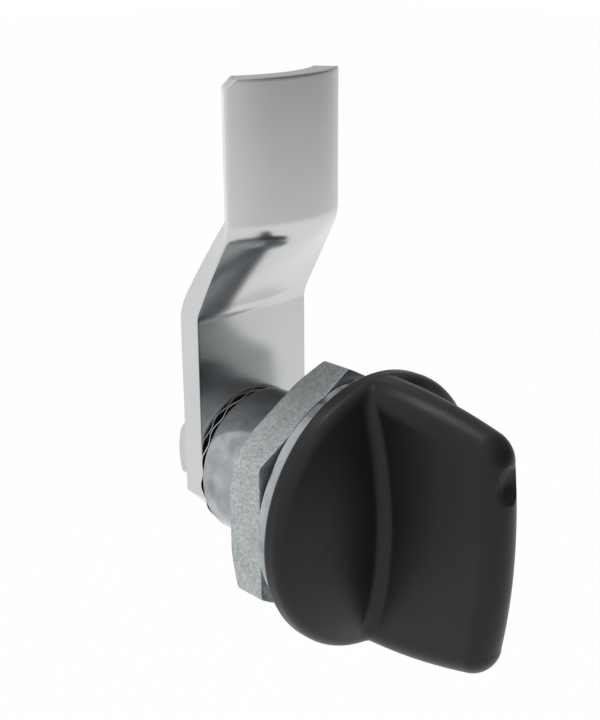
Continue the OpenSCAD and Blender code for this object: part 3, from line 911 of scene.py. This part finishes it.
def dress_inner_parts() -> None:
    """Gives the exact inner parts, which stay as the CAD model has them, their finishes."""
    for node, finish in (("spindle", SCREW_ZINC), ("sealing_ring", SEAL_RUBBER), ("retaining_ring", BLACK_SPRING)):
        dress(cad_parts[node], finish)
        LOG.info("%s: dressed as the CAD model has it", node)


# Studio


@dataclass
class Studio:
    """White surroundings, a pale floor, soft lamps and the photograph's camera.

    Attributes:
        eye: place of the camera, in mm.
        right: the picture's direction to the right.
        upward: the picture's direction upwards.
        focal: focal length in pixels of a picture 720 high.
        picture_height: height of the picture in pixels.
        floor: height of the floor, in mm.
        wall_side: direction of the grey wall that gloss shows.
        wall_level: how bright it is.
        patch_side: direction of the grey patch that gloss shows.
        patch_level: how bright it is.
    """

    eye: tuple[float, float, float] = (-92.17, -88.22, 61.97)
    right: tuple[float, float, float] = (0.7197, -0.6942, -0.0059)
    upward: tuple[float, float, float] = (0.2367, 0.2374, 0.9421)
    focal: float = 1240.08
    picture_height: int = 720
    floor: float = -110.0
    wall_side: tuple[float, float, float] = (0.69, -0.72, 0.0)
    wall_level: float = 0.13
    patch_side: tuple[float, float, float] = (0.605, 0.655, 0.454)
    patch_level: float = 0.45

    def build_camera(self) -> None:
        """Sets the camera by its axes: the third looks back, square to the picture."""
        camera = bpy.data.cameras.new("camera")
        camera.sensor_width = 36.0
        camera.lens = 36.0 * self.focal / self.picture_height
        camera.clip_start = 0.005
        holder = bpy.data.objects.new("camera", camera)
        bpy.context.scene.collection.objects.link(holder)
        x = np.array(self.right) / np.linalg.norm(self.right)
        z = np.cross(x, np.array(self.upward))
        z /= np.linalg.norm(z)
        placed = np.eye(4)
        placed[:3, :3] = np.stack([x, np.cross(z, x), z], axis=1)
        placed[:3, 3] = np.array(self.eye) * MM
        holder.matrix_world = Matrix(placed.tolist())
        bpy.context.scene.camera = holder

    @staticmethod
    def seen_directly(tree: bpy.types.NodeTree) -> bpy.types.NodeSocket:
        """Value that is 1 for rays of the camera, of gloss and of clear parts, and 0 for diffuse light."""
        path = tree.nodes.new("ShaderNodeLightPath")
        total = path.outputs["Is Camera Ray"]
        for name in ("Is Glossy Ray", "Is Transmission Ray"):
            larger = tree.nodes.new("ShaderNodeMath")
            larger.operation = "MAXIMUM"
            tree.links.new(total, larger.inputs[0])
            tree.links.new(path.outputs[name], larger.inputs[1])
            total = larger.outputs[0]
        return total

    @staticmethod
    def ramp(tree: bpy.types.NodeTree, value: bpy.types.NodeSocket, reach: tuple[float, float], ends: tuple[float, float]) -> bpy.types.NodeSocket:
        """Maps a reach of values smoothly to a range.

        Args:
            tree: node tree to add to.
            value: the value socket.
            reach: values at which the change starts and ends.
            ends: results before and after the change.

        Returns:
            The result's socket.
        """
        node = tree.nodes.new("ShaderNodeMapRange")
        node.interpolation_type = "SMOOTHSTEP"
        for name, number in zip(("From Min", "From Max", "To Min", "To Max"), (*reach, *ends)):
            node.inputs[name].default_value = number
        tree.links.new(value, node.inputs["Value"])
        return node.outputs["Result"]

    @staticmethod
    def joined(tree: bpy.types.NodeTree, operation: str, a: bpy.types.NodeSocket, b: bpy.types.NodeSocket) -> bpy.types.NodeSocket:
        """Joins two value sockets by a mathematical operation."""
        node = tree.nodes.new("ShaderNodeMath")
        node.operation = operation
        tree.links.new(a, node.inputs[0])
        tree.links.new(b, node.inputs[1])
        return node.outputs[0]

    def surroundings(self, tree: bpy.types.NodeTree) -> bpy.types.NodeSocket:
        """Brightness that gloss shows: white, with a grey wall over the horizon on one side and a grey patch above.

        Args:
            tree: node tree of the world.

        Returns:
            The value socket, by direction.
        """
        direction = tree.nodes.new("ShaderNodeTexCoord").outputs["Generated"]
        likeness = []
        for towards in ((0.0, 0.0, 1.0), self.wall_side, self.patch_side):
            dot = tree.nodes.new("ShaderNodeVectorMath")
            dot.operation = "DOT_PRODUCT"
            dot.inputs[1].default_value = tuple(np.array(towards) / np.linalg.norm(towards))
            tree.links.new(direction, dot.inputs[0])
            likeness.append(dot.outputs["Value"])
        high = self.ramp(tree, likeness[0], (-0.42, 0.12), (0.0, 1.0))
        side = self.ramp(tree, likeness[1], (-0.2, 1.0), (0.0, 1.0))
        wall = tree.nodes.new("ShaderNodeMapRange")
        wall.inputs["To Min"].default_value = 1.0
        wall.inputs["To Max"].default_value = self.wall_level
        tree.links.new(self.joined(tree, "MULTIPLY", high, side), wall.inputs["Value"])
        patch = self.ramp(tree, likeness[2], (0.8, 1.0), (1.0, self.patch_level))
        return self.joined(tree, "MULTIPLY", wall.outputs["Result"], patch)

    def build_world(self) -> None:
        """Makes the surroundings: white to the camera, white and grey in gloss, and plain grey as light."""
        world = bpy.data.worlds.new("studio")
        bpy.context.scene.world = world
        world.use_nodes = True
        tree = world.node_tree
        tree.nodes.clear()
        seen, light = tree.nodes.new("ShaderNodeBackground"), tree.nodes.new("ShaderNodeBackground")
        light.inputs["Color"].default_value = (0.45, 0.455, 0.46, 1.0)
        camera = tree.nodes.new("ShaderNodeLightPath").outputs["Is Camera Ray"]
        tree.links.new(self.joined(tree, "MAXIMUM", self.surroundings(tree), camera), seen.inputs["Color"])
        mix = tree.nodes.new("ShaderNodeMixShader")
        output = tree.nodes.new("ShaderNodeOutputWorld")
        tree.links.new(self.seen_directly(tree), mix.inputs["Fac"])
        tree.links.new(light.outputs[0], mix.inputs[1])
        tree.links.new(seen.outputs[0], mix.inputs[2])
        tree.links.new(mix.outputs[0], output.inputs["Surface"])

    def build_floor(self) -> None:
        """Lays a pale floor that shows white and still takes the object's shadow."""
        half = 2.0
        line = np.linspace(-half, half, 9)
        grid = np.stack(np.broadcast_arrays(line[None, :], line[:, None], self.floor * MM), axis=-1)
        shell = Shell()
        shell.add(grid)
        floor = shell.piece("floor")
        material = bpy.data.materials.new("floor_white")
        material.use_nodes = True
        tree = material.node_tree
        tree.nodes.clear()
        matte, glow = tree.nodes.new("ShaderNodeBsdfDiffuse"), tree.nodes.new("ShaderNodeEmission")
        matte.inputs["Color"].default_value = (0.9, 0.9, 0.9, 1.0)
        glow.inputs["Strength"].default_value = 1.0
        share = tree.nodes.new("ShaderNodeMath")
        share.operation = "MULTIPLY"
        share.inputs[1].default_value = 0.985
        tree.links.new(self.seen_directly(tree), share.inputs[0])
        mix = tree.nodes.new("ShaderNodeMixShader")
        output = tree.nodes.new("ShaderNodeOutputMaterial")
        tree.links.new(share.outputs[0], mix.inputs["Fac"])
        tree.links.new(matte.outputs[0], mix.inputs[1])
        tree.links.new(glow.outputs[0], mix.inputs[2])
        tree.links.new(mix.outputs[0], output.inputs["Surface"])
        floor.data.materials.append(material)
        floor.visible_glossy = False

    @staticmethod
    def add_lamp(name: str, place: tuple[float, float, float], size: float, power: float) -> bpy.types.Object:
        """Hangs a square soft lamp that faces the object.

        Args:
            name: name of the lamp.
            place: its place, in mm.
            size: its side, in mm.
            power: its power, in watts.

        Returns:
            The lamp, which gloss doesn't show.
        """
        lamp = bpy.data.lights.new(name, "AREA")
        lamp.size = size * MM
        lamp.energy = power
        holder = bpy.data.objects.new(name, lamp)
        bpy.context.scene.collection.objects.link(holder)
        z = np.array(place) - np.array([0.0, 0.0, 10.0])
        z = z / np.linalg.norm(z)
        x = np.cross([0.0, 0.0, 1.0], z)
        x /= np.linalg.norm(x)
        placed = np.eye(4)
        placed[:3, :3] = np.stack([x, np.cross(z, x), z], axis=1)
        placed[:3, 3] = np.array(place) * MM
        holder.matrix_world = Matrix(placed.tolist())
        holder.visible_glossy = False
        return holder

    def add_snooted_lamp(self) -> None:
        """Hangs a lamp behind the knob that gloss shows and that lights the knob alone, for the soft lines on its edges."""
        lamp = self.add_lamp("snooted_lamp", (17.0, 230.0, 515.0), 220.0, 0.75)
        lamp.visible_glossy = True
        lit = bpy.data.collections.new("snooted_lamp_lit")
        lit.objects.link(bpy.data.objects["knob_skin"])
        lamp.light_linking.receiver_collection = lit

    def build(self) -> None:
        """Sets up camera, surroundings, floor and lamps."""
        self.build_camera()
        self.build_world()
        self.build_floor()
        self.add_lamp("key_lamp", (-420.0, -180.0, 420.0), 320.0, 1.2)
        self.add_lamp("side_lamp", (380.0, -320.0, 260.0), 360.0, 0.5)
        self.add_snooted_lamp()
        bpy.context.scene.view_settings.view_transform = "Standard"


def main() -> None:
    """Builds the latch and its studio."""
    logging.basicConfig(level=logging.INFO, format="%(message)s")
    screw = CamScrew()
    for build in (WingKnob().build, Cam().build, Housing().build, MountingNut().build, WaveWasher().build,
                  screw.build_screw, screw.build_washer, dress_inner_parts, Studio().build):
        build()


if __name__ == "__main__":
    main()
